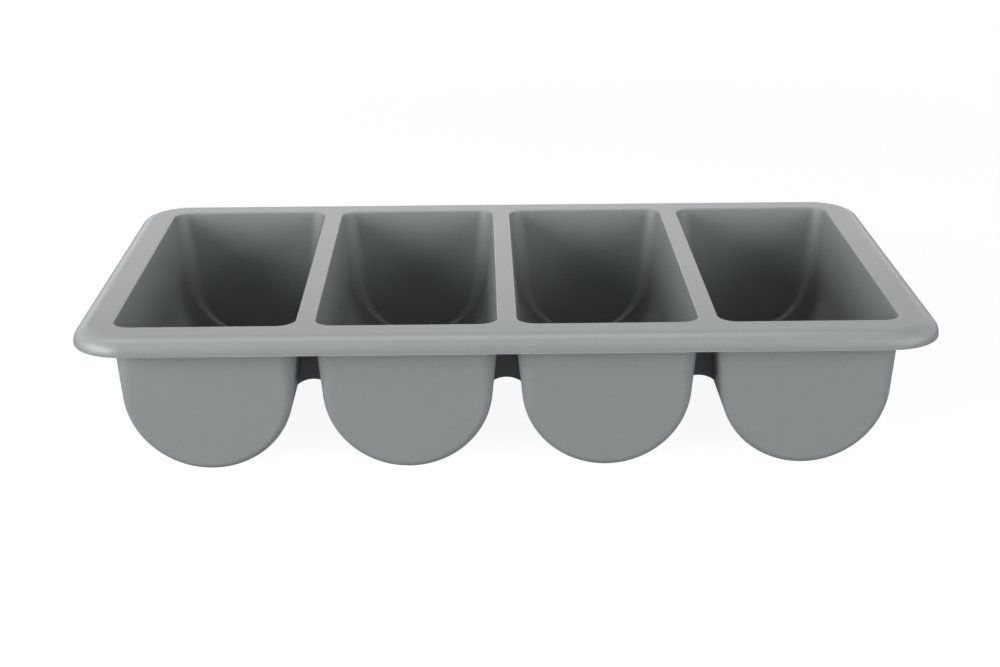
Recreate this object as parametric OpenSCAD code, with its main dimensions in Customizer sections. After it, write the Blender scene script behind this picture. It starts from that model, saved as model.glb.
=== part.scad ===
// Cutlery box with four round-bottomed compartments: one grey plastic moulding, divided into its regions.
// X runs along the row of compartments, Y runs from front (-) to back (+), Z is up and the box rests on z = 0.

/* [Overall] */
// Length over the rim
box_l = 514; // [440:1:600]
// Width over the rim
box_w = 292; // [240:1:360]
// Height from the table to the top of the deck
box_h = 93.5; // [80:0.5:120]
// Thickness of the moulded wall everywhere
wall = 2; // [1.6:0.1:3]

/* [Rim] */
// Plan radius of the outer corners of the rim
rim_corner_r = 33; // [28:0.5:45]
// Radius of the rolled edge of the rim
roll_r = 9.5; // [7:0.25:11]
// Height of the straight skirt below the rolled edge
skirt_h = 1.2; // [1.1:0.1:6]
// Radius of the lower outer edge of the skirt
skirt_edge_r = 0.7; // [0.4:0.1:1]

/* [Compartments] */
// From the outer edge of the rim to the inner face of an outer wall, under the deck
rim_strip = 23.8; // [22:0.1:30]
// From the inner face of one compartment to that of the next, under the deck
divider_w = 12; // [10:0.1:18]
// Draft of the side walls along the dividers, in degrees
divider_draft = 6.3; // [2:0.1:8]
// Draft of the two outermost side walls, in degrees
outer_draft = 6.3; // [2:0.1:8]
// Draft of the end walls, in degrees
end_draft = 3; // [2:0.1:9]
// Inner radius of the upright corners, under the deck
corner_r = 11; // [6:0.25:16]
// Inner radius of the blend between the end walls and the round bottom
blend_r = 3; // [2:0.25:6]
// Radius of the upper edge of the openings
mouth_edge_r = 1; // [0.5:0.1:1.5]
// How far the round bottom of each trough is flattened, as a land to stand on
land_depth = 0.16; // [0.1:0.02:0.4]

/* [Webs] */
// From the inner face of an end wall, under the deck, to the middle of the nearest web
web_setback = 44.2; // [25:0.1:55]
// From the axis of a trough down to the springing of the arch in the lower edge of a web
web_spring_drop = 12.4; // [2:0.1:20]
// Rise of the arch above its springing
web_arch_rise = 4.3; // [2:0.1:8]

/* [Hidden] */
// Smoothness of round faces
$fn = 96;
// Compartments in the row
compartments = 4;
// Side walls that stand beside a divider
divider_sides = 2 * (compartments - 1);
// Side walls that stand on the outside
outer_sides = 2;
// Flat steps in half of a trough's round bottom
half_steps = 13;
// Flat steps across a blend
blend_steps = 5;
// How far a cutter runs past the face it cuts
overcut = 1;
// Step of the lengths of the openings
length_step = 0.02;
// Plastic colour
plastic = [0.55, 0.57, 0.58];
// Height of the underside of the deck, where the compartments end
under_z = box_h - wall;
// Half the length of an opening, under the deck
end_y = box_w / 2 - rim_strip;
// Half the clear length of the row of compartments, under the deck
row_x = box_l / 2 - rim_strip;
// How much the inner half width of a trough, under the deck, grows for each mm of its inner radius
function width_gain(draft) = (1 - sin(draft)) / cos(draft);
// Inner half widths of the row that come from the drafts alone
draft_sum = (under_z - wall + land_depth)
    * (divider_sides * tan(divider_draft) + outer_sides * tan(outer_draft));
// Inner radius of the troughs, the one that fills the row
trough_in_r = (2 * row_x - (compartments - 1) * divider_w - draft_sum)
    / (divider_sides * width_gain(divider_draft) + outer_sides * width_gain(outer_draft));
// Outer radius of the troughs
trough_r = trough_in_r + wall;
// Half of the angle that the land takes from the round bottom
land_angle = acos(1 - land_depth / trough_r);
// Height of the axis of a trough, with its land on the table
axis_z = trough_r - land_depth;
// Inner half width of a trough under the deck, beside a divider
inner_half_w = (trough_in_r + (under_z - axis_z) * sin(divider_draft)) / cos(divider_draft);
// Inner half width of an outer trough under the deck, on its outer side
outer_half_w = (trough_in_r + (under_z - axis_z) * sin(outer_draft)) / cos(outer_draft);
// Distance between the axes of neighbouring troughs
pitch = 2 * inner_half_w + divider_w;
// Distance from the centre to the inner plane of an end wall, square to it and carried down to z = 0
end_plane = cos(end_draft) * end_y - sin(end_draft) * under_z;
// Stations round a trough, with one at the top of each side
stations = 2 * half_steps + 4;
// Middle of the webs in Y
web_y = end_y - web_setback;
// Height of the springing of the arch
spring_z = axis_z - web_spring_drop;
// How far the springing of the arch lies inside the walls of the troughs
spring_bite = wall / 4;
// Half the width of the arch at its springing
spring_half = pitch / 2 - sqrt(pow(trough_r, 2) - pow(web_spring_drop, 2)) + spring_bite;
// Radius of the arch
web_arch_r = (pow(spring_half, 2) + pow(web_arch_rise, 2)) / (2 * web_arch_rise);

// Axis of a trough, counted from 0 on the left
function trough_x(index) = (index - (compartments - 1) / 2) * pitch;

// Drafts of the left and right sides of a trough
function left_draft(index) = index == 0 ? outer_draft : divider_draft;
function right_draft(index) = index == compartments - 1 ? outer_draft : divider_draft;

// Direction that the round bottom faces at a station, in degrees from straight down
function left_angle(step, draft) =
    -land_angle - (90 - draft - land_angle) * (half_steps - step) / half_steps;
function right_angle(step, draft) = land_angle + (90 - draft - land_angle) * step / half_steps;
function facing(index, station) =
    station == 0 ? left_angle(0, left_draft(index)) :
    station <= half_steps + 1 ? left_angle(station - 1, left_draft(index)) :
    station < stations - 1 ? right_angle(station - half_steps - 2, right_draft(index)) :
    right_angle(half_steps, right_draft(index));

// A station at the top of a side, where the wall meets the deck
function at_top(station) = station == 0 || station == stations - 1;

// Unit direction part of the way from one unit direction to another
function between(from, to, part) =
    let (angle = acos(from * to))
    (sin((1 - part) * angle) * from + sin(part * angle) * to) / sin(angle);

// One point of a blend: skin is 0 outside and 1 inside, end is -1 at the front and 1 at the back,
// and step runs from the end wall to the trough
function blend_point(index, skin, end, station, step) =
    let (angle = facing(index, station))
    let (inner_r = at_top(station) ? corner_r : blend_r)
    let (radius = skin == 0 ? inner_r + wall : inner_r)
    let (path_r = trough_in_r - inner_r)
    let (wall_way = [0, end * cos(end_draft), -sin(end_draft)])
    let (way = between(wall_way, [sin(angle), 0, -cos(angle)], step / blend_steps))
    let (side = angle < 0 ? -1 : 1)
    let (draft = angle < 0 ? left_draft(index) : right_draft(index))
    let (z = at_top(station) ? under_z - radius * way[2] : axis_z - path_r * cos(angle))
    let (rise = (path_r + (z - axis_z) * sin(draft)) / cos(draft))
    let (x = at_top(station) ? side * rise : path_r * sin(angle))
    let (y = end * (end_plane - inner_r + sin(end_draft) * z) / cos(end_draft))
    [trough_x(index) + x, y, z] + radius * way;

// Place of a point in the list: skin is 0 outside and 1 inside, back is 0 at the front and 1 at the back
function place(skin, back, station, step) = ((skin * 2 + back) * stations + station) * (blend_steps + 1) + step;

// A face with its points in reverse order where it has to look the other way
function facing_out(face, turn) = turn ? [for (i = [len(face) - 1:-1:0]) face[i]] : face;

// One closed trough with round bottom, drafted walls and an open top
module compartment(index) {
    last = stations - 1;
    points = [for (skin = [0, 1]) for (back = [0, 1]) for (station = [0:last]) for (step = [0:blend_steps])
        blend_point(index, skin, back == 0 ? -1 : 1, station, step)];
    blends = [for (skin = [0, 1]) for (back = [0, 1]) for (station = [0:last - 1])
        for (step = [0:blend_steps - 1]) for (half = [0, 1])
            let (a = place(skin, back, station, step))
            let (b = place(skin, back, station + 1, step))
            let (c = place(skin, back, station + 1, step + 1))
            let (d = place(skin, back, station, step + 1))
            facing_out(half == 0 ? [a, b, c] : [a, c, d], skin == back)];
    troughs = [for (skin = [0, 1]) for (station = [0:last - 1])
        facing_out([place(skin, 0, station, blend_steps), place(skin, 0, station + 1, blend_steps),
            place(skin, 1, station + 1, blend_steps), place(skin, 1, station, blend_steps)], skin == 0)];
    end_walls = [for (skin = [0, 1]) for (back = [0, 1])
        facing_out([for (station = [0:last]) place(skin, back, station, 0)], skin != back)];
    corner_tops = [for (back = [0, 1]) for (station = [0, last]) for (step = [0:blend_steps - 1])
        facing_out([place(0, back, station, step), place(0, back, station, step + 1),
            place(1, back, station, step + 1), place(1, back, station, step)], (station == 0) == (back == 0))];
    side_tops = [for (station = [0, last])
        facing_out([place(0, 0, station, blend_steps), place(0, 1, station, blend_steps),
            place(1, 1, station, blend_steps), place(1, 0, station, blend_steps)], station == 0)];
    end_tops = [for (back = [0, 1])
        facing_out([place(0, back, 0, 0), place(0, back, last, 0), place(1, back, last, 0), place(1, back, 0, 0)],
            back == 1)];
    color(plastic)
        polyhedron(points = points,
            faces = concat(blends, troughs, end_walls, corner_tops, side_tops, end_tops), convexity = 8);
}

// Section of the rim, with the axis of the roll at the origin
module rim_section() {
    intersection() {
        difference() {
            circle(roll_r);
            circle(roll_r - wall);
        }
        square(roll_r);
    }
    translate([roll_r - wall, -skirt_h])
        difference() {
            square([wall, skirt_h]);
            translate([wall - skirt_edge_r, 0])
                difference() {
                    square(skirt_edge_r);
                    translate([0, skirt_edge_r])
                        circle(skirt_edge_r);
                }
        }
}

// One straight length of the rim, along X, with its roll towards +Y
module rim_run(length) {
    rotate([90, 0, 90])
        linear_extrude(height = length, center = true)
            rim_section();
}

// One corner of the rim, round the Z axis, from +X to +Y
module rim_corner() {
    rotate_extrude(angle = 90)
        translate([rim_corner_r - roll_r, 0])
            rim_section();
}

// The rolled rim with its skirt
module rim() {
    corner_x = box_l / 2 - rim_corner_r;
    corner_y = box_w / 2 - rim_corner_r;
    color(plastic)
        translate([0, 0, box_h - roll_r]) {
            for (turn = [0, 180])
                rotate(turn) {
                    translate([0, box_w / 2 - roll_r, 0])
                        rim_run(2 * corner_x);
                    translate([box_l / 2 - roll_r, 0, 0])
                        rotate(-90)
                            rim_run(2 * corner_y);
                    translate([corner_x, corner_y, 0])
                        rim_corner();
                    translate([-corner_x, corner_y, 0])
                        rotate(90)
                            rim_corner();
                }
        }
}

// Section of an opening from its corner axis outwards, with its rounded top edge
module mouth_section() {
    translate([0, -overcut])
        square([corner_r, wall + 2 * overcut]);
    translate([corner_r, wall - mouth_edge_r])
        difference() {
            square(mouth_edge_r);
            translate([mouth_edge_r, 0])
                circle(mouth_edge_r);
        }
}

// Cutter for one opening of the deck, between two inner faces in X
module mouth(from_x, to_x) {
    half_x = (to_x - from_x) / 2 - corner_r;
    half_y = end_y - corner_r;
    translate([(from_x + to_x) / 2, 0, under_z]) {
        translate([-half_x, -half_y, -overcut])
            cube([2 * half_x, 2 * half_y, wall + 2 * overcut]);
        for (turn = [0, 180])
            rotate(turn) {
                translate([0, half_y, 0])
                    rotate([90, 0, 90])
                        linear_extrude(height = 2 * half_x, center = true)
                            mouth_section();
                translate([half_x, 0, 0])
                    rotate([90, 0, 0])
                        linear_extrude(height = 2 * half_y, center = true)
                            mouth_section();
                translate([half_x, half_y, 0])
                    rotate_extrude(angle = 90)
                        mouth_section();
                translate([-half_x, half_y, 0])
                    rotate(90)
                        rotate_extrude(angle = 90)
                            mouth_section();
            }
    }
}

// A length in whole steps, so that the runs along the edge of an opening meet exactly
function whole_steps(length) = round(length / length_step) * length_step;

// The flat top flange, with the four openings
module deck() {
    flange_r = rim_corner_r - roll_r;
    corner_x = box_l / 2 - rim_corner_r;
    corner_y = box_w / 2 - rim_corner_r;
    color(plastic)
        difference() {
            translate([0, 0, under_z]) {
                translate([-corner_x - flange_r, -corner_y, 0])
                    cube([2 * (corner_x + flange_r), 2 * corner_y, wall]);
                for (turn = [0, 180])
                    rotate(turn) {
                        translate([-corner_x, corner_y, 0])
                            cube([2 * corner_x, flange_r, wall]);
                        translate([corner_x, corner_y, 0])
                            rotate_extrude(angle = 90)
                                square([flange_r, wall]);
                        translate([-corner_x, corner_y, 0])
                            rotate(90)
                                rotate_extrude(angle = 90)
                                    square([flange_r, wall]);
                    }
            }
            for (index = [0:compartments - 1]) {
                left_w = index == 0 ? outer_half_w : inner_half_w;
                right_w = index == compartments - 1 ? outer_half_w : inner_half_w;
                mouth(whole_steps(trough_x(index) - left_w), whole_steps(trough_x(index) + right_w));
            }
        }
}

// Outline of a trough's outer face, in X and Z
function outline(index) = [for (station = [0:stations - 1])
    let (point = blend_point(index, 0, 1, station, blend_steps)) [point[0], point[2]]];

// One arched web between two neighbouring troughs: side is -1 at the front and 1 at the back
module web(index, side) {
    middle_x = (trough_x(index) + trough_x(index + 1)) / 2;
    color(plastic)
        translate([0, side * web_y + wall / 2, 0])
            rotate([90, 0, 0])
                linear_extrude(height = wall)
                    difference() {
                        translate([trough_x(index), spring_z])
                            square([pitch, under_z - spring_z]);
                        polygon(outline(index));
                        polygon(outline(index + 1));
                        translate([middle_x, spring_z + web_arch_rise - web_arch_r])
                            circle(web_arch_r);
                    }
}

rim();
deck();
compartment(0);  // compartment_1
compartment(1);  // compartment_2
compartment(2);  // compartment_3
compartment(3);  // compartment_4
web(0, -1);  // web_1_front
web(0, 1);  // web_1_back
web(1, -1);  // web_2_front
web(1, 1);  // web_2_back
web(2, -1);  // web_3_front
web(2, 1);  // web_3_back
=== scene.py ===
from math import cos, pi, radians, sin, tan

import bpy
import numpy as np
from mathutils import Matrix, Vector
from mathutils.geometry import delaunay_2d_cdt


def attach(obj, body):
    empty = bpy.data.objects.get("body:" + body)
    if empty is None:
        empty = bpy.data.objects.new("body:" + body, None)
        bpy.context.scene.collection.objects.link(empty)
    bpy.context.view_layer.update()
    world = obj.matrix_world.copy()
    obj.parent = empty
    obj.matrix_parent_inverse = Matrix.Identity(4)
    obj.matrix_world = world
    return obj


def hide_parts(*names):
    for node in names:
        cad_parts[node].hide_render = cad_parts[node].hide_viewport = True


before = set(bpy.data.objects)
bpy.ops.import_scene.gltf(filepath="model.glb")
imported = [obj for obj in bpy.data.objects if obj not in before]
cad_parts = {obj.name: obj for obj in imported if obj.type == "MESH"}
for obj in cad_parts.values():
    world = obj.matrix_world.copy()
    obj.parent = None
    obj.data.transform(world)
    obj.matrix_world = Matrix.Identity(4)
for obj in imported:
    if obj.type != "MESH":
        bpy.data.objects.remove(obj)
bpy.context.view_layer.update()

# Sizes of the moulding, in mm, the same as the solids'.
BOX_L = 514.0
BOX_W = 292.0
BOX_H = 93.5
WALL = 2.0
RIM_CORNER_R = 33.0
ROLL_R = 9.5
SKIRT_H = 1.2
SKIRT_EDGE_R = 0.7
RIM_STRIP = 23.8
DIVIDER_W = 12.0
DIVIDER_DRAFT = radians(6.3)
OUTER_DRAFT = radians(6.3)
END_DRAFT = radians(3.0)
CORNER_R = 11.0
BLEND_R = 3.0
MOUTH_R = 1.0
LAND_DEPTH = 0.16
WEB_SETBACK = 44.2
WEB_SPRING_DROP = 12.4
WEB_SPRING_BITE = WALL / 4
WEB_ARCH_RISE = 4.3
COMPARTMENTS = 4

# Roundings, in mm, that only the skin shows.
UNDER_FILLET_R = 2.0
INNER_EDGE_R = 0.4
WEB_EDGE_R = 0.6
# The power by which the radius of the inner corners falls from the trough's axis to its bottom.
CORNER_FALL = 4
# How far the webs' skins are sunk into the walls, in mm, and how much their hidden ends tilt.
WEB_SINK = 1.2
WEB_END_TILT = 0.2

# Fineness of the skin.
TROUGH_STEPS = 72
SIDE_ROWS = 8
BLEND_STEPS = 12
MOUTH_STEPS = 8
ROLL_STEPS = 20
CORNER_STEPS = 24
EDGE_STEPS = 5
ARCH_STEPS = 24
WEB_SIDE_STEPS = 8
# Steps in which the end of a web's arch is looked for, over a quarter turn.
SWING_STEPS = 2000

# Points that round to the same place are one point, and a normal this short belongs to a face without area.
PLACES_PER_MM = 2000
NO_AREA = 1e-9
# The kind of fill that leaves holes open, and how near to each other its points may be, in mm.
FILL_WITH_HOLES = 2
FILL_NEAREST = 1e-6

MM = 0.001
UP = np.array([0.0, 0.0, 1.0])


def width_gain(draft):
    """The half width under the deck that each mm of a trough's inner radius gives, for a wall's draft."""
    return (1 - sin(draft)) / cos(draft)


under_z = BOX_H - WALL
end_y = BOX_W / 2 - RIM_STRIP
row_x = BOX_L / 2 - RIM_STRIP
divider_sides = 2 * (COMPARTMENTS - 1)
outer_sides = 2
draft_tangents = divider_sides * tan(DIVIDER_DRAFT) + outer_sides * tan(OUTER_DRAFT)
draft_gains = divider_sides * width_gain(DIVIDER_DRAFT) + outer_sides * width_gain(OUTER_DRAFT)
draft_sum = (under_z - WALL + LAND_DEPTH) * draft_tangents
trough_in_r = (2 * row_x - (COMPARTMENTS - 1) * DIVIDER_W - draft_sum) / draft_gains
trough_r = trough_in_r + WALL
axis_z = trough_r - LAND_DEPTH
inner_half_w = (trough_in_r + (under_z - axis_z) * sin(DIVIDER_DRAFT)) / cos(DIVIDER_DRAFT)
pitch = 2 * inner_half_w + DIVIDER_W
end_plane = cos(END_DRAFT) * end_y - sin(END_DRAFT) * under_z
web_y = end_y - WEB_SETBACK
spring_half = pitch / 2 - (trough_r ** 2 - WEB_SPRING_DROP ** 2) ** 0.5 + WEB_SPRING_BITE
web_arch_r = (spring_half ** 2 + WEB_ARCH_RISE ** 2) / (2 * WEB_ARCH_RISE)
web_arch_z = axis_z - WEB_SPRING_DROP + WEB_ARCH_RISE - web_arch_r


class Skin:
    """A mesh made of patches, which share the points where they meet and keep their own normals."""

    def __init__(self, name):
        self.name = name
        self.points = []
        self.places = {}
        self.faces = []
        self.normals = []

    def place(self, point):
        """The number of a point, given in mm, which is added where it is new."""
        key = tuple(int(round(v * PLACES_PER_MM)) for v in point)
        if key not in self.places:
            self.places[key] = len(self.points)
            self.points.append([float(v) * MM for v in point])
        return self.places[key]

    def face(self, points, normals):
        """Adds one face, turned so that its winding agrees with the normals."""
        points = [np.asarray(p, float) for p in points]
        normals = [np.asarray(n, float) for n in normals]
        area = np.zeros(3)
        for a, b in zip(points, points[1:] + points[:1]):
            area += np.cross(a, b)
        if np.dot(area, np.sum(normals, axis=0)) < 0:
            points = points[::-1]
            normals = normals[::-1]
        spots = [self.place(p) for p in points]
        kept = [i for i in range(len(spots)) if spots[i] != spots[i - 1]]
        if len(kept) < 3:
            return
        self.faces.append([spots[i] for i in kept])
        self.normals.extend([(normals[i] / np.linalg.norm(normals[i])).tolist() for i in kept])

    def grid(self, points, normals, closed=False):
        """Adds a grid of faces, rows by columns, with its last row joined to its first where closed."""
        rows = len(points)
        for i in range(rows if closed else rows - 1):
            j = (i + 1) % rows
            for k in range(len(points[i]) - 1):
                self.face([points[i][k], points[j][k], points[j][k + 1], points[i][k + 1]],
                          [normals[i][k], normals[j][k], normals[j][k + 1], normals[i][k + 1]])

    def flat(self, loops, normal):
        """Fills the level face inside the first loop and outside the others."""
        corners = []
        rings = []
        for loop in loops:
            start = len(corners)
            corners.extend(Vector((float(p[0]), float(p[1]))) for p in loop)
            rings.append(list(range(start, len(corners))))
        spots, _, faces, _, _, _ = delaunay_2d_cdt(corners, [], rings, FILL_WITH_HOLES, FILL_NEAREST)
        z = loops[0][0][2]
        for face in faces:
            self.face([(spots[i].x, spots[i].y, z) for i in face], [normal] * len(face))

    def build(self):
        """Makes the mesh and its object, and puts it in the scene."""
        mesh = bpy.data.meshes.new(self.name)
        mesh.from_pydata(self.points, [], self.faces)
        mesh.polygons.foreach_set("use_smooth", [True] * len(mesh.polygons))
        mesh.normals_split_custom_set(self.normals)
        mesh.update()
        piece = bpy.data.objects.new(self.name, mesh)
        bpy.context.scene.collection.objects.link(piece)
        return piece


def between(start, end, part):
    """The unit direction part of the way from one unit direction to another."""
    angle = np.arccos(np.clip(np.dot(start, end), -1, 1))
    return (np.sin((1 - part) * angle) * start + np.sin(part * angle) * end) / np.sin(angle)


def trough_x(index):
    """The place of a compartment's middle along the row."""
    return (index - (COMPARTMENTS - 1) / 2) * pitch


def drafts(index):
    """The drafts of a compartment's left and right walls."""
    left = OUTER_DRAFT if index == 0 else DIVIDER_DRAFT
    right = OUTER_DRAFT if index == COMPARTMENTS - 1 else DIVIDER_DRAFT
    return left, right


def blend_row(index, outside, end, angle, top):
    """One row of a blend, from the end wall to the trough, with the way that each point lies from its
    centre. top gives the height of the wall's upper edge for a way, or is None on the round bottom."""
    inner_r = CORNER_R if top else BLEND_R
    if not top and not outside:
        inner_r = BLEND_R + (CORNER_R - BLEND_R) * sin(angle) ** CORNER_FALL
    radius = inner_r + WALL if outside else inner_r
    path_r = trough_in_r - inner_r
    draft = drafts(index)[0 if angle < 0 else 1]
    wall_way = np.array([0, end * cos(END_DRAFT), -sin(END_DRAFT)])
    side_way = np.array([sin(angle), 0, -cos(angle)])
    points = []
    ways = []
    for step in range(BLEND_STEPS + 1):
        way = between(wall_way, side_way, step / BLEND_STEPS)
        x = path_r * sin(angle)
        z = axis_z - path_r * cos(angle)
        if top:
            z = top(way) - radius * way[2]
            x = np.sign(angle) * (path_r + (z - axis_z) * sin(draft)) / cos(draft)
        y = end * (end_plane - inner_r + sin(END_DRAFT) * z) / cos(END_DRAFT)
        points.append(np.array([trough_x(index) + x, y, z]) + radius * way)
        ways.append(way)
    return points, ways


def trough_rows(index, outside, end, top):
    """All rows of a trough's blend, from the top of the left side round to the top of the right side."""
    left, right = drafts(index)
    first = -(pi / 2 - left)
    last = pi / 2 - right
    angles = [first + (last - first) * i / TROUGH_STEPS for i in range(TROUGH_STEPS + 1)]
    rows = [blend_row(index, outside, end, a, None) for a in angles]

    def side(low, angle):
        high = blend_row(index, outside, end, angle, top)
        parts = [i / SIDE_ROWS for i in range(1, SIDE_ROWS + 1)]
        return [([a + (b - a) * t for a, b in zip(low[0], high[0])], low[1]) for t in parts]

    return side(rows[0], first)[::-1] + rows + side(rows[-1], last)


def settle(rows):
    """Flattens the round bottom where it stands on the table."""
    for points, ways in rows:
        for i, point in enumerate(points):
            if point[2] <= 0:
                point[2] = 0.0
                ways[i] = -UP
    return rows


def trough_skin(skin, index, outside, top):
    """The outer or inner face of one compartment. Returns the loop of points and ways along its top."""
    sign = 1 if outside else -1
    ends = {}
    for end in (-1, 1):
        rows = trough_rows(index, outside, end, top)
        if outside:
            rows = settle(rows)
        ends[end] = rows
        points = [r[0] for r in rows]
        normals = [[sign * w for w in r[1]] for r in rows]
        skin.grid(points, normals)
        skin.face([p[0] for p in points], [n[0] for n in normals])
    front = [(r[0][-1], sign * r[1][-1]) for r in ends[-1]]
    back = [(r[0][-1], sign * r[1][-1]) for r in ends[1]]
    skin.grid([[a, b] for (a, _), (b, _) in zip(front, back)], [[n, n] for _, n in front])
    loop = []
    for end, row, turned in ((-1, 0, True), (-1, -1, False), (1, -1, True), (1, 0, False)):
        corner = list(zip(*ends[end][row]))
        loop.extend(corner[::-1] if turned else corner)
    return loop


def mouth_top(way):
    """Height at which an inner wall meets the rounded edge of its opening."""
    return BOX_H - MOUTH_R * (1 + way[2])


def under_top(way):
    """Height at which an outer wall meets its fillet under the deck."""
    return under_z - UNDER_FILLET_R * (1 + way[2])


def edge_round(loop, radius, sign):
    """The rounding from a wall's upper edge to the level face beyond it, as rows of points and normals."""
    points = []
    normals = []
    for point, way in loop:
        centre = point + radius * way
        arcs = [between(-way, UP, i / MOUTH_STEPS) for i in range(MOUTH_STEPS + 1)]
        points.append([centre + radius * a for a in arcs])
        normals.append([sign * a for a in arcs])
    return points, normals


def ring(skin, first, second, facing):
    """Closes a piece between two loops, with hidden faces that face up, for 1, or down, for -1."""
    for i in range(len(first)):
        a, b, c, d = first[i - 1], first[i], second[i], second[i - 1]
        normal = np.cross(b - a, d - a)
        if np.linalg.norm(normal) < NO_AREA:
            normal = np.cross(c - b, a - b)
        if np.linalg.norm(normal) > NO_AREA:
            normal = normal if normal[2] * facing > 0 else -normal
            skin.face([a, b, c, d], [normal] * 4)


def rim_plan():
    """Points of the line round which the rim is rolled, with the way out from each."""
    radius = RIM_CORNER_R - ROLL_R
    corner_x = BOX_L / 2 - RIM_CORNER_R
    corner_y = BOX_W / 2 - RIM_CORNER_R
    line = []
    for turn, (x, y) in enumerate(((1, 1), (-1, 1), (-1, -1), (1, -1))):
        for i in range(CORNER_STEPS + 1):
            angle = (turn + i / CORNER_STEPS) * pi / 2
            way = np.array([cos(angle), sin(angle), 0.0])
            line.append((np.array([x * corner_x, y * corner_y, 0.0]) + radius * way, way))
    return line


def arc(x, z, radius, ways):
    """Points of an arc round a centre, each with its normal. The radius of a hollow arc is negative."""
    return [(x + radius * out, z + radius * rise, out, rise) for out, rise in ways]


def rim_section():
    """The rim's section from the deck's top round the roll and back to its underside, as reach, height
    and the two parts of the normal."""
    axis = BOX_H - ROLL_R
    foot = axis - SKIRT_H
    inner_r = ROLL_R - WALL
    turns = [i / ROLL_STEPS * pi / 2 for i in range(ROLL_STEPS + 1)]
    bends = [i / EDGE_STEPS * pi / 2 for i in range(EDGE_STEPS + 1)]
    outer_edge = [(cos(b), -sin(b)) for b in bends]
    inner_edge = [(-sin(b), -cos(b)) for b in bends]
    run = arc(0, axis, ROLL_R, [(sin(t), cos(t)) for t in turns])
    run += arc(ROLL_R - SKIRT_EDGE_R, foot + SKIRT_EDGE_R, SKIRT_EDGE_R, outer_edge)
    run += arc(inner_r + INNER_EDGE_R, foot + INNER_EDGE_R, INNER_EDGE_R, inner_edge)
    run += arc(0, axis, -inner_r, [(-sin(t), -cos(t)) for t in turns[::-1]])
    return run


pieces = {}
plan = rim_plan()

# Rim: the rolled edge, swept round the plan, and the hidden face where it joins the deck.
skin = Skin("rim_skin")
section = rim_section()
skin.grid([[p + reach * w + height * UP for reach, height, _, _ in section] for p, w in plan],
          [[out * w + rise * UP for _, _, out, rise in section] for _, w in plan], closed=True)
seam = [[p + BOX_H * UP, p + under_z * UP] for p, _ in plan]
skin.grid(seam, [[-w, -w] for _, w in plan], closed=True)
pieces["rim"] = skin.build()

# Compartments, and the loops where each meets the deck.
inner_loops = []
outer_loops = []
for index in range(COMPARTMENTS):
    name = "compartment_%d" % (index + 1)
    skin = Skin(name + "_skin")
    inner_loops.append(trough_skin(skin, index, False, mouth_top))
    outer_loops.append(trough_skin(skin, index, True, under_top))
    ring(skin, [p for p, _ in inner_loops[-1]], [p for p, _ in outer_loops[-1]], 1)
    pieces[name] = skin.build()

# Deck: the level top with rounded openings, and the underside with a fillet round each compartment.
skin = Skin("deck_skin")
top_loops = [[p + BOX_H * UP for p, _ in plan]]
under_loops = [[p + under_z * UP for p, _ in plan]]
for inner, outer in zip(inner_loops, outer_loops):
    points, normals = edge_round(inner, MOUTH_R, 1)
    skin.grid(points, normals, closed=True)
    top_loops.append([p[-1] for p in points])
    points, normals = edge_round(outer, UNDER_FILLET_R, -1)
    skin.grid(points, normals, closed=True)
    under_loops.append([p[-1] for p in points])
    ring(skin, [p for p, _ in inner], [p for p, _ in outer], -1)
skin.flat(top_loops, UP)
skin.flat(under_loops, -UP)
skin.grid(seam, [[w, w] for _, w in plan], closed=True)
pieces["deck"] = skin.build()


def web_outline(inset):
    """The outline of a web in X and Z, its lower edge first, kept back from the arch by the inset."""
    arch_r = web_arch_r + inset
    sunk_r = trough_r - WEB_SINK
    half = pitch / 2
    for i in range(SWING_STEPS):
        swing = i / SWING_STEPS * pi / 2
        x = arch_r * sin(swing)
        z = web_arch_z + arch_r * cos(swing)
        if np.hypot(half - x, z - axis_z) <= sunk_r:
            break
    swings = np.linspace(-swing, swing, ARCH_STEPS + 1)
    lower = [(arch_r * sin(s), web_arch_z + arch_r * cos(s)) for s in swings]
    start = np.arcsin((axis_z - lower[-1][1]) / sunk_r)
    turns = np.linspace(start, DIVIDER_DRAFT, WEB_SIDE_STEPS + 1)[1:]
    right = [(half - sunk_r * cos(t), axis_z - sunk_r * sin(t)) for t in turns]
    top = under_z + WEB_SINK
    rise = (sunk_r + (top - axis_z) * sin(DIVIDER_DRAFT)) / cos(DIVIDER_DRAFT)
    right.append((half - rise, top))
    left = [(-x, z) for x, z in right[::-1]]
    return lower, right + left


def web_section():
    """The section of a web's lower edge: depth, inset from the arch, and the normal across and down."""
    run = []
    for face in (-1, 1):
        for i in range(EDGE_STEPS + 1):
            bend = (i / EDGE_STEPS if face < 0 else 1 - i / EDGE_STEPS) * pi / 2
            depth = face * (WALL / 2 - WEB_EDGE_R + WEB_EDGE_R * cos(bend))
            run.append((depth, WEB_EDGE_R - WEB_EDGE_R * sin(bend), face * cos(bend), -sin(bend)))
    return run


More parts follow.
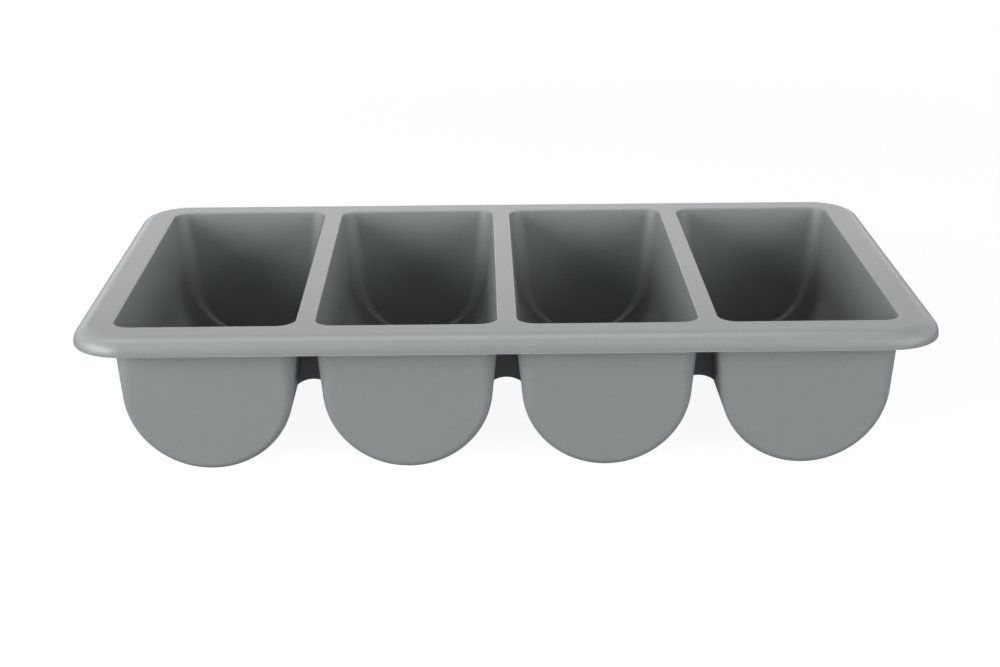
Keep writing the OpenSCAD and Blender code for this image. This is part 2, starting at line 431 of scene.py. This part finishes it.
def web_skin(name, middle, y):
    """A thin plate between two compartments, sunk a little into the walls, with a rounded arch below."""
    skin = Skin(name)
    section = web_section()
    outlines = [web_outline(inset) for _, inset, _, _ in section]
    rows = []
    normals = []
    for i in range(ARCH_STEPS + 1):
        row = []
        ways = []
        for (depth, _, across, fall), (lower, _) in zip(section, outlines):
            x, z = lower[i]
            radial = np.array([x, 0, z - web_arch_z])
            radial = radial / np.linalg.norm(radial)
            row.append(np.array([middle + x, y + depth, z]))
            ways.append(np.array([0, across, 0]) + fall * radial)
        rows.append(row)
        normals.append(ways)
    skin.grid(rows, normals)
    for spot, face in ((0, -1), (-1, 1)):
        depth = section[spot][0]
        lower, rest = outlines[spot]
        outline = lower + rest
        skin.face([(middle + x, y + depth, z) for x, z in outline], [(0, face, 0)] * len(outline))
    rest = outlines[0][1]
    depths = (section[0][0], section[-1][0])
    hems = [[np.array([middle + x, y + depth, z]) for depth in depths] for x, z in rest]
    outs = []
    for x, z in rest:
        out = np.array([x, 0, WEB_END_TILT * (z - axis_z)])
        outs.append([out / np.linalg.norm(out)] * 2)
    skin.grid(hems, outs)
    for row, hem, out in ((rows[0], hems[-1], outs[-1]), (rows[-1], hems[0], outs[0])):
        skin.face(row + hem[::-1], [out[0]] * (len(row) + len(hem)))
    return skin.build()


# Webs: a pair between each two neighbours.
for index in range(COMPARTMENTS - 1):
    middle = (trough_x(index) + trough_x(index + 1)) / 2
    for side, word in ((-1, "front"), (1, "back")):
        name = "web_%d_%s" % (index + 1, word)
        pieces[name] = web_skin(name + "_skin", middle, side * web_y)

# The plastic: its gloss, the two greys of its speckle, and the fineness of the speckle and the grain.
PLASTIC_IOR = 1.6
PLASTIC_ROUGHNESS = 0.29
SPECKLE_DARK = (0.270, 0.286, 0.292, 1)
SPECKLE_LIGHT = (0.292, 0.308, 0.314, 1)
SPECKLE_SCALE = 420.0
SPECKLE_DETAIL = 3.0
GRAIN_SCALE = 1400.0
GRAIN_DETAIL = 2.0
GRAIN_STRENGTH = 0.06
GRAIN_DEPTH = 0.0002
# Sockets of a Mix node that mixes colours.
MIX_FACTOR = 0
MIX_FIRST = 6
MIX_SECOND = 7
MIX_RESULT = 2


def noise_node(tree, place, scale, detail):
    """A noise that is fixed to the object."""
    node = tree.nodes.new("ShaderNodeTexNoise")
    node.inputs["Scale"].default_value = scale
    node.inputs["Detail"].default_value = detail
    tree.links.new(place.outputs["Object"], node.inputs["Vector"])
    return node.outputs["Fac"]


def plastic_material():
    """Grey satin polypropylene with a fine moulded grain and a faint speckle."""
    material = bpy.data.materials.new("grey_plastic")
    material.use_nodes = True
    tree = material.node_tree
    shader = tree.nodes["Principled BSDF"]
    shader.inputs["IOR"].default_value = PLASTIC_IOR
    shader.inputs["Roughness"].default_value = PLASTIC_ROUGHNESS
    place = tree.nodes.new("ShaderNodeTexCoord")
    tint = tree.nodes.new("ShaderNodeMix")
    tint.data_type = "RGBA"
    tint.inputs[MIX_FIRST].default_value = SPECKLE_DARK
    tint.inputs[MIX_SECOND].default_value = SPECKLE_LIGHT
    tree.links.new(noise_node(tree, place, SPECKLE_SCALE, SPECKLE_DETAIL), tint.inputs[MIX_FACTOR])
    tree.links.new(tint.outputs[MIX_RESULT], shader.inputs["Base Color"])
    bump = tree.nodes.new("ShaderNodeBump")
    bump.inputs["Strength"].default_value = GRAIN_STRENGTH
    bump.inputs["Distance"].default_value = GRAIN_DEPTH
    tree.links.new(noise_node(tree, place, GRAIN_SCALE, GRAIN_DETAIL), bump.inputs["Height"])
    tree.links.new(bump.outputs["Normal"], shader.inputs["Normal"])
    return material


plastic = plastic_material()
for node, piece in pieces.items():
    piece.data.materials.append(plastic)
    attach(piece, "root")
    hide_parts(node)

# The white that the camera and reflections see round the object, dimmer overhead and behind the camera in
# reflections, and the little light that the room itself sheds.
SKY_SEEN = 1.0
CEILING_SEEN = 0.3
FRONT_SEEN = 0.2
ROOM_LIGHT = 0.04
# Heights over the horizon between which the walls fade into the ceiling, and turns from the front between
# which the dark behind the camera fades into the walls.
WALL_FADE = (radians(45), radians(75))
FRONT_FADE = (radians(26), radians(44))
# The floor's half width in metres, its own grey, and its lift for the camera and for reflections.
FLOOR_HALF = 12.0
FLOOR_GREY = 0.26
FLOOR_SEEN = 0.93
FLOOR_MIRRORED = 0.15
# Distances in metres between which the seen floor turns as white as the walls.
FLOOR_FADE = (0.7, 2.2)


def math_node(tree, operation, first, second):
    """A math node on two inputs, each a number or another node's output."""
    node = tree.nodes.new("ShaderNodeMath")
    node.operation = operation
    for spot, value in enumerate((first, second)):
        if isinstance(value, float):
            node.inputs[spot].default_value = value
        else:
            tree.links.new(value, node.inputs[spot])
    return node.outputs[0]


def fade_node(tree, value, start, end, low, high):
    """A smooth fade from one strength to another as a value runs from start to end."""
    node = tree.nodes.new("ShaderNodeMapRange")
    node.interpolation_type = "SMOOTHSTEP"
    for word, number in (("From Min", start), ("From Max", end), ("To Min", low), ("To Max", high)):
        node.inputs[word].default_value = number
    tree.links.new(value, node.inputs["Value"])
    return node.outputs["Result"]


def floor_material():
    """A pale studio floor that shows white to the camera and keeps the object's shadow."""
    material = bpy.data.materials.new("studio_floor")
    material.use_nodes = True
    tree = material.node_tree
    tree.nodes.clear()
    output = tree.nodes.new("ShaderNodeOutputMaterial")
    matt = tree.nodes.new("ShaderNodeBsdfDiffuse")
    matt.inputs["Color"].default_value = (FLOOR_GREY, FLOOR_GREY, FLOOR_GREY, 1)
    glow = tree.nodes.new("ShaderNodeEmission")
    path = tree.nodes.new("ShaderNodeLightPath")
    spot = tree.nodes.new("ShaderNodeNewGeometry")
    reach = tree.nodes.new("ShaderNodeVectorMath")
    reach.operation = "LENGTH"
    tree.links.new(spot.outputs["Position"], reach.inputs[0])
    seen = fade_node(tree, reach.outputs["Value"], FLOOR_FADE[0], FLOOR_FADE[1], FLOOR_SEEN, SKY_SEEN)
    direct = math_node(tree, "MULTIPLY", path.outputs["Is Camera Ray"], seen)
    mirrored = math_node(tree, "MULTIPLY", path.outputs["Is Glossy Ray"], FLOOR_MIRRORED)
    tree.links.new(math_node(tree, "ADD", direct, mirrored), glow.inputs["Strength"])
    both = tree.nodes.new("ShaderNodeAddShader")
    tree.links.new(matt.outputs[0], both.inputs[0])
    tree.links.new(glow.outputs[0], both.inputs[1])
    tree.links.new(both.outputs[0], output.inputs["Surface"])
    return material


floor_mesh = bpy.data.meshes.new("studio_floor")
corners = [(x * FLOOR_HALF, y * FLOOR_HALF, 0) for x, y in ((-1, -1), (1, -1), (1, 1), (-1, 1))]
floor_mesh.from_pydata(corners, [], [(0, 1, 2, 3)])
floor = bpy.data.objects.new("studio_floor", floor_mesh)
floor.data.materials.append(floor_material())
bpy.context.scene.collection.objects.link(floor)


def studio_world():
    """A white room for the camera and for reflections, which sheds little light of its own."""
    world = bpy.data.worlds.new("studio")
    world.use_nodes = True
    tree = world.node_tree
    place = tree.nodes.new("ShaderNodeTexCoord")
    way = tree.nodes.new("ShaderNodeSeparateXYZ")
    tree.links.new(place.outputs["Generated"], way.inputs[0])
    path = tree.nodes.new("ShaderNodeLightPath")
    low, high = WALL_FADE
    height = fade_node(tree, way.outputs["Z"], sin(low), sin(high), SKY_SEEN, CEILING_SEEN)
    inner, outer = FRONT_FADE
    front = fade_node(tree, way.outputs["Y"], -cos(inner), -cos(outer), FRONT_SEEN, 1.0)
    room = math_node(tree, "MULTIPLY", height, front)
    mirrored = math_node(tree, "MULTIPLY", path.outputs["Is Glossy Ray"], room)
    direct = math_node(tree, "MULTIPLY", path.outputs["Is Camera Ray"], SKY_SEEN)
    shown = math_node(tree, "MAXIMUM", direct, mirrored)
    strength = math_node(tree, "ADD", shown, ROOM_LIGHT)
    tree.links.new(strength, tree.nodes["Background"].inputs["Strength"])
    tree.nodes["Background"].inputs["Color"].default_value = (1, 1, 1, 1)
    return world


bpy.context.scene.world = studio_world()


def softbox(name, place, target, size, radiance, lit=None):
    """A flat, soft lamp that the camera doesn't see, with its size in metres and its brightness over white.
    lit names the pieces that it lights, where it is flagged off the others."""
    width, height = size
    lamp = bpy.data.lights.new(name, "AREA")
    lamp.shape = "RECTANGLE"
    lamp.size = width
    lamp.size_y = height
    lamp.energy = radiance * pi * width * height
    piece = bpy.data.objects.new(name, lamp)
    piece.location = place
    aim = Vector(target) - Vector(place)
    piece.rotation_euler = aim.to_track_quat("-Z", "Y").to_euler()
    piece.visible_camera = False
    bpy.context.scene.collection.objects.link(piece)
    if lit:
        flagged = bpy.data.collections.new("lit_by_" + name)
        for node in lit:
            flagged.objects.link(pieces[node])
        piece.light_linking.receiver_collection = flagged
    return piece


# Two softboxes in front light the object. Their mirror images are lamps of their own, which leave the level
# deck out.
LEFT_AT = (-1.68, -1.09, 0.54)
RIGHT_AT = (1.5, -1.32, 0.54)
LEVEL = (0, 0, 0.54)
FRONT_SIZE = (2.2, 1.05)
walls_and_rim = [node for node in pieces if node != "deck"]
walls = [node for node in walls_and_rim if node != "rim"]
softbox("softbox_left", LEFT_AT, LEVEL, FRONT_SIZE, radiance=6.3).visible_glossy = False
softbox("softbox_right", RIGHT_AT, LEVEL, FRONT_SIZE, radiance=3.85).visible_glossy = False
softbox("glint_left", LEFT_AT, LEVEL, FRONT_SIZE, radiance=9.0, lit=walls_and_rim).visible_diffuse = False
softbox("glint_right", RIGHT_AT, LEVEL, FRONT_SIZE, radiance=3.9, lit=walls_and_rim).visible_diffuse = False

# A faint glow behind, and fills for the back and for the floors of the compartments.
softbox("backdrop_glow", place=(-0.2, 2.2, 0.48), target=(0, 0, 0.48), size=(2.6, 0.5), radiance=0.55)
behind = softbox("fill_behind", place=(0, 2.2, 0.3), target=(0, 0, 0.3), size=(1.6, 0.6), radiance=6.5,
                 lit=walls)
behind.visible_glossy = False
inside = softbox("fill_inside", place=(0, 1.1, 1.5), target=(0, 0, 0.05), size=(0.4, 0.5), radiance=15.0,
                 lit=walls)
inside.visible_glossy = False

# One softbox above for the rim and one for the deck, and the light that the table in front sends up to the
# rim's lower edge.
softbox("softbox_above", place=(-0.3, 0, 1.3), target=(-0.3, 0, 0), size=(1.5, 0.9), radiance=1.9,
        lit=["rim"])
over_deck = softbox("deck_light", place=(-0.03, 0.06, 0.55), target=(-0.03, 0.06, 0), size=(0.45, 0.15),
                    radiance=4.6, lit=["deck"])
over_deck.visible_glossy = False
softbox("table_bounce", place=(0, -0.14, 0.004), target=(0, -0.14, 0.1), size=(0.5, 0.04), radiance=4.0,
        lit=["rim"])

# Camera, from a fit to the rim and the openings in the photograph: its place in mm, its turns, the focal
# length and the image's width in px, the sensor's width in mm, and how far it sees, in metres.
CAMERA_AT = (-17.117, -1090.542, BOX_H + 341.788)
CAMERA_PITCH = radians(19.773)
CAMERA_YAW = radians(-0.756)
CAMERA_ROLL = radians(-0.325)
FOCAL_PX = 1743.48
IMAGE_W = 1000.0
SENSOR_W = 36.0
CAMERA_SEES = 100


def turn_x(angle):
    """The matrix of a turn round X."""
    return np.array([[1, 0, 0], [0, cos(angle), -sin(angle)], [0, sin(angle), cos(angle)]])


def turn_z(angle):
    """The matrix of a turn round Z."""
    return np.array([[cos(angle), -sin(angle), 0], [sin(angle), cos(angle), 0], [0, 0, 1]])


facing = np.array([[1, 0, 0], [0, 0, -1], [0, 1, 0]])
view = turn_z(CAMERA_ROLL) @ turn_x(CAMERA_PITCH) @ facing @ turn_z(-CAMERA_YAW)
lens = bpy.data.cameras.new("camera")
lens.sensor_fit = "HORIZONTAL"
lens.sensor_width = SENSOR_W
lens.lens = FOCAL_PX / IMAGE_W * SENSOR_W
lens.clip_end = CAMERA_SEES
camera = bpy.data.objects.new("camera", lens)
turn = Matrix([view[0].tolist(), (-view[1]).tolist(), (-view[2]).tolist()]).transposed()
camera.matrix_world = Matrix.Translation(Vector(CAMERA_AT) * MM) @ turn.to_4x4()
bpy.context.scene.collection.objects.link(camera)
bpy.context.scene.camera = camera

bpy.context.scene.view_settings.view_transform = "Standard"
